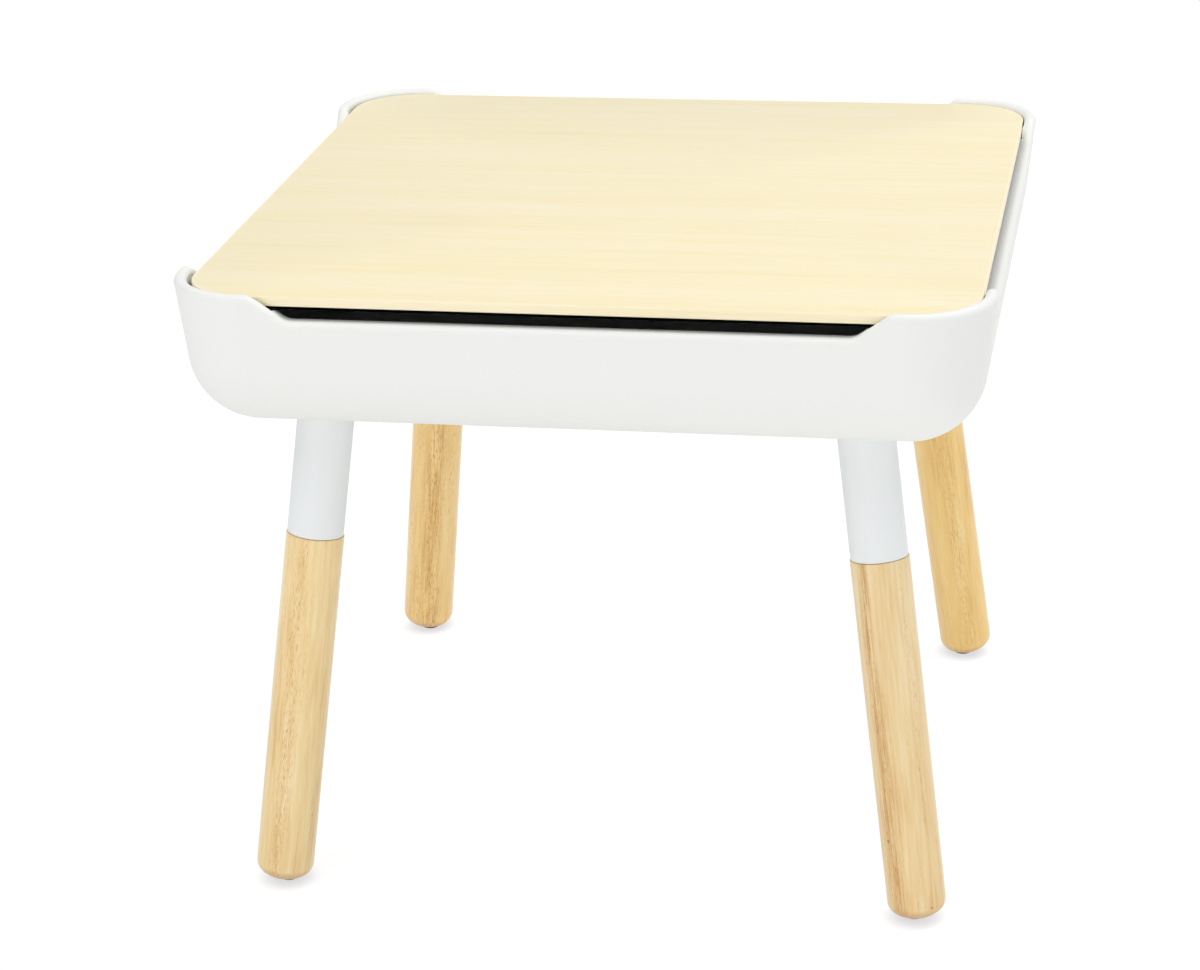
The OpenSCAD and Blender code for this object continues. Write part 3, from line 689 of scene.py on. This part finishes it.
# socket-head bolt, M8: threaded shank, and a head with a 5 mm hexagon socket
BOLT_CORE = 3.4
bolt_section = [(0, -70), (2.8, -70), (BOLT_CORE, -69.2), (BOLT_CORE, -28), (4, -27.4), (4, 5),
                (6.6, 5), (7, 5.4)]
bolt_section += arc(6.2, 7.2, 0.8, 0, 90, 4)
bolt_section += [(2.75, 8, 1), (2.5, 7.75, 1), (2.5, 5.5, 1), (0, 5.5)]
bolt = round_square("bolt", bolt_section, bolt_zinc, corner_steps=12)
bolt = run_tree(THREAD_TREE, bolt, {"Core radius": BOLT_CORE * MM, "Pitch": 1.25 * MM,
                                    "Length": 40 * MM, "Ridge": 0.6 * MM, "Start": -69 * MM,
                                    "Finish": bolt_zinc})
add_piece("leg_bolts", run_tree(LEG_SET_TREE, bolt, {"Finish": bolt_zinc}), "stand")

washer_section = [(4.3, 3.4)] + arc(9.7, 3.7, 0.3, -90, 0, 3) + arc(9.7, 4.7, 0.3, 0, 90, 3)
washer_section += [(4.3, 5), (4.3, 3.4)]
washer = round_square("washer", washer_section, bolt_zinc)
add_piece("bolt_washers", run_tree(LEG_SET_TREE, washer, {"Finish": bolt_zinc}),
          "stand")

# brass insert: a coarse wood thread outside
INSERT_BORE, INSERT_CORE = 4.05, 5.3
insert_section = [(INSERT_BORE, INSERT_FOOT), (5, INSERT_FOOT), (INSERT_CORE, -64.7),
                  (INSERT_CORE, -45.6), (5.9, INSERT_TOP), (INSERT_BORE, INSERT_TOP),
                  (INSERT_BORE, INSERT_FOOT)]
insert = round_square("insert", insert_section, insert_brass)
insert = run_tree(THREAD_TREE, insert, {"Core radius": INSERT_CORE * MM, "Pitch": 2.5 * MM,
                                        "Length": 17.5 * MM, "Ridge": 0.65 * MM,
                                        "Start": -64.2 * MM, "Finish": insert_brass})
add_piece("leg_inserts", run_tree(LEG_SET_TREE, insert, {"Finish": insert_brass}),
          "stand")

# nail-on glide under each foot, and a rubber bumper on each corner ledge
FOOT_SEAT = 244.69
glide_section = [(0, 0)] + arc(6.7, 0.8, 0.8, -90, 0, 4) + arc(7.1, 1.6, 0.4, 0, 90, 3)
glide_section += [(1.2, 2), (1.2, 16), (0, 18)]
for place, angle in CORNERS.items():
    turn = Matrix.Rotation(math.radians(angle), 4, "Z")
    glide = round_square("glide", glide_section, glide_nylon)
    glide.transform(turn @ Matrix.Translation((FOOT_SEAT * MM * math.sqrt(2), 0, 0)))
    add_piece("foot_glide_" + place, glide, "stand")
    low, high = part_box("lid_bumper_" + place)
    radius, foot, top = (high.x - low.x) / 2 / MM, low.z / MM, high.z / MM
    bumper_section = [(0, foot), (radius, foot)]
    bumper_section += arc(radius - 0.8, top - 0.8, 0.8, 0, 90, 5) + [(0, top)]
    bumper = round_square("bumper", bumper_section, bumper_rubber)
    bumper.transform(Matrix.Translation(((low.x + high.x) / 2, (low.y + high.y) / 2, 0)))
    add_piece("lid_bumper_" + place, bumper, "stand")


# ---------------------------------------------------------------- floor, light and camera

def add_floor():
    """A pale floor. To the camera it glows almost white, dimmed as painted contact shadow where the
    object stands close over it, and it keeps the object's shadow.
    """
    size = 8.0
    mesh = bpy.data.meshes.new("floor")
    mesh.from_pydata([(x * size, y * size, 0) for x, y in ((-1, -1), (1, -1), (1, 1), (-1, 1))], [],
                     [(0, 1, 2, 3)])
    floor = bpy.data.objects.new("floor", mesh)
    bpy.context.scene.collection.objects.link(floor)
    material, tree, output = new_material("studio_floor")
    paths = add(tree, "ShaderNodeLightPath")
    seen = add(tree, "ShaderNodeMath", {0: paths.outputs["Is Camera Ray"],
                                        1: paths.outputs["Is Glossy Ray"]}, operation="MAXIMUM")
    seen = add(tree, "ShaderNodeMath", {0: seen.outputs[0],
                                        1: paths.outputs["Is Transmission Ray"]},
               operation="MAXIMUM")
    lit = add(tree, "ShaderNodeBsdfDiffuse", {"Color": hex_colour("#F9F9F9")})
    faint = add(tree, "ShaderNodeBsdfDiffuse", {"Color": (0.18, 0.18, 0.18, 1)})
    # painted contact shadow: the glow dims where occlusion finds the object close by
    near = add(tree, "ShaderNodeAmbientOcclusion", {"Distance": 11 * MM}, samples=16)
    glow_with_painted_contact_shadow = add(tree, "ShaderNodeMapRange", {0: near.outputs["AO"], 1: 0.2, 2: 0.95,
                                                  3: 0.66, 4: 0.88})
    glow = add(tree, "ShaderNodeEmission", {"Color": (1, 1, 1, 1),
                                            "Strength": glow_with_painted_contact_shadow.outputs[0]})
    shown = add(tree, "ShaderNodeAddShader", {0: faint.outputs[0], 1: glow.outputs[0]})
    mixed = add(tree, "ShaderNodeMixShader", {0: seen.outputs[0], 1: lit.outputs[0],
                                              2: shown.outputs[0]})
    tree.links.new(mixed.outputs[0], output.inputs[0])
    mesh.materials.append(material)


def light_world(level):
    """A white surround, plain white to the camera and of this strength as light."""
    world = bpy.data.worlds.new("studio")
    bpy.context.scene.world = world
    world.use_nodes = True
    tree = world.node_tree
    tree.nodes.clear()
    paths = add(tree, "ShaderNodeLightPath")
    seen = add(tree, "ShaderNodeMath", {0: paths.outputs["Is Camera Ray"],
                                        1: paths.outputs["Is Transmission Ray"]},
               operation="MAXIMUM")
    strength = add(tree, "ShaderNodeMix", {0: seen.outputs[0], 2: level, 3: 1.0})
    background = add(tree, "ShaderNodeBackground", {"Color": (1, 1, 1, 1),
                                                    "Strength": strength.outputs[0]})
    add(tree, "ShaderNodeOutputWorld", {0: background.outputs[0]})


def add_softbox(name, at, size, watts):
    """A square area lamp that faces the middle of the table."""
    lamp = bpy.data.lights.new(name, "AREA")
    lamp.energy = watts
    lamp.size = size
    light = bpy.data.objects.new(name, lamp)
    bpy.context.scene.collection.objects.link(light)
    light.location = at
    light.rotation_euler = (Vector((0, 0, 0.3)) - Vector(at)).to_track_quat("-Z", "Y").to_euler()


def add_camera():
    """The photograph's camera: found by fitting the table's edges, for an image 1200 by 970."""
    at = Vector((0.42812, -2.40449, 1.19683))
    yaw, pitch, roll = (math.radians(a) for a in (10.894, 21.285, -1.729))
    forward = Vector((-math.sin(yaw) * math.cos(pitch), math.cos(yaw) * math.cos(pitch),
                      -math.sin(pitch)))
    right = Vector((math.cos(yaw), math.sin(yaw), 0))
    up = right.cross(forward)
    right, up = (math.cos(roll) * right + math.sin(roll) * up,
                 math.cos(roll) * up - math.sin(roll) * right)
    data = bpy.data.cameras.new("camera")
    data.sensor_width = 36
    data.lens = 96.71
    camera = bpy.data.objects.new("camera", data)
    camera.matrix_world = Matrix((right, up, -forward)).transposed().to_4x4()
    camera.location = at
    bpy.context.scene.collection.objects.link(camera)
    bpy.context.scene.camera = camera


add_floor()
light_world(0.63)
add_softbox("key", (-2.1, -2.4, 4.9), 3.2, 52)
add_softbox("right", (1.6, 1.0, 3.8), 2.4, 64)
add_softbox("fill", (3.8, -0.6, 0.9), 2.4, 10)
add_softbox("low", (-0.8, -4.0, 0.5), 2.4, 37)
add_camera()
bpy.context.scene.view_settings.view_transform = "Standard"
